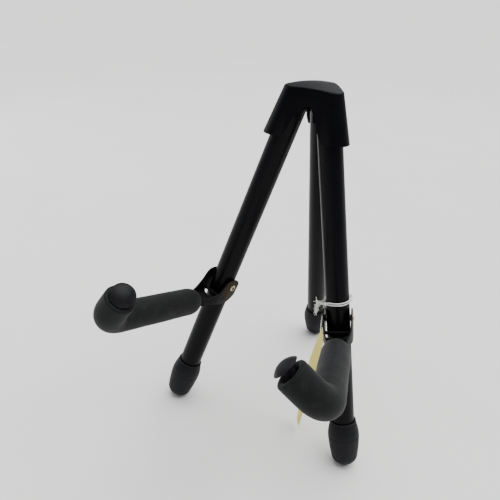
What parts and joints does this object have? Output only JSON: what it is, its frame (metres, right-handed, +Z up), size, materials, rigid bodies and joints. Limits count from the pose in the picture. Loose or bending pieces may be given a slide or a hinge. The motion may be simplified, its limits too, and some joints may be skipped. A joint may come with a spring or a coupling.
{
  "type": "folding guitar stand",
  "caption": "Folding A-frame floor stand with splayed legs on a hooded hinge head, rubber boots, and foam-covered folding arms with upturned tips that hold a guitar.",
  "frame": {"origin": "on the floor, in the middle of the stand's box", "axes": "+Z up, -Y the front where the arms reach out and the instrument rests, +X the stand's left arm-to-right arm direction seen from the front (the right arm is on +X)"},
  "size_m": [0.2568, 0.3963, 0.4068],
  "materials": {
    "hood": "satin black moulding",
    "frame_steel": "black coated sheet",
    "plated_steel": "zinc plated",
    "tube_paint": "satin black",
    "black_plastic": "matte black",
    "boot_rubber": "matte grey-black",
    "fork_paint": "black coated sheet, ears bronze-tinted",
    "rivet_brass": "pale",
    "nylon": "natural nylon",
    "foam": "closed-cell foam skin, matte",
    "string": "white twisted cotton",
    "manila": "uncoated card"
  },
  "bodies": {
    "head": {"head_shell": "hood", "hinge_frame": "frame_steel", "frame_screws": "plated_steel", "left_leg_hinge_pin": "plated_steel", "right_leg_hinge_pin": "plated_steel", "rear_leg_hinge_pin": "plated_steel"},
    "left_leg": {"left_leg_tube": "tube_paint", "left_leg_cap": "black_plastic", "left_foot": "boot_rubber"},
    "right_leg": {"right_leg_tube": "tube_paint", "right_leg_cap": "black_plastic", "right_foot": "boot_rubber"},
    "rear_leg": {"rear_leg_tube": "tube_paint", "rear_leg_cap": "black_plastic", "rear_foot": "boot_rubber"},
    "left_fork": {"left_arm_fork": "fork_paint", "left_arm_rivet": "rivet_brass", "left_arm_spacers": "black_plastic", "left_arm_stop_pin": "plated_steel", "left_arm_screw": "plated_steel"},
    "left_arm": {"left_arm_friction_washer": "nylon", "left_arm_insert": "black_plastic", "left_arm_tube": "tube_paint", "left_foam_sleeve": "foam", "left_tip_cap": "black_plastic"},
    "right_fork": {"right_arm_fork": "fork_paint", "right_arm_rivet": "rivet_brass", "right_arm_spacers": "black_plastic", "right_arm_stop_pin": "plated_steel", "right_arm_screw": "plated_steel"},
    "right_arm": {"right_arm_friction_washer": "nylon", "right_arm_insert": "black_plastic", "right_arm_tube": "tube_paint", "right_foam_sleeve": "foam", "right_tip_cap": "black_plastic"},
    "shop_tag": {"tie_string": "string", "paper_tag": "manila"}
  },
  "joints": [
    {"name": "left_leg_fold", "type": "hinge", "parent": "head", "child": "left_leg", "pos_m": [-0.01977, 0.02437, 0.378], "axis": [0.5621, -0.8271, 0], "range_deg": [0, 16.5]},
    {"name": "right_leg_fold", "type": "hinge", "parent": "head", "child": "right_leg", "pos_m": [0.01977, 0.02437, 0.378], "axis": [0.5621, 0.8271, 0], "range_deg": [0, 16.5]},
    {"name": "rear_leg_fold", "type": "hinge", "parent": "head", "child": "rear_leg", "pos_m": [0, 0.0617, 0.378], "axis": [-1, 0, 0], "range_deg": [0, 17.5]},
    {"name": "left_arm_fold", "type": "hinge", "parent": "left_leg", "child": "left_fork", "pos_m": [-0.07202, -0.01115, 0.1739], "axis": [-0.9489, 0.2436, 0.2006], "range_deg": [0, 72]},
    {"name": "left_arm_swivel", "type": "hinge", "parent": "left_fork", "child": "left_arm", "pos_m": [-0.07762, -0.01665, 0.1541], "axis": [-0.1746, -0.9347, 0.3095], "range_deg": [-69, 111]},
    {"name": "right_arm_fold", "type": "hinge", "parent": "right_leg", "child": "right_fork", "pos_m": [0.07202, -0.01115, 0.1739], "axis": [-0.9489, -0.2436, -0.2006], "range_deg": [0, 72]},
    {"name": "right_arm_swivel", "type": "hinge", "parent": "right_fork", "child": "right_arm", "pos_m": [0.07757, -0.01638, 0.15401], "axis": [-0.1782, 0.9383, -0.2965], "range_deg": [-48, 132]},
    {"name": "tag_turn", "type": "hinge", "parent": "right_leg", "child": "shop_tag", "pos_m": [0.06739, -0.008, 0.19201], "axis": [0.2446, -0.1662, -0.9553], "range_deg": [0, 120]}
  ]
}
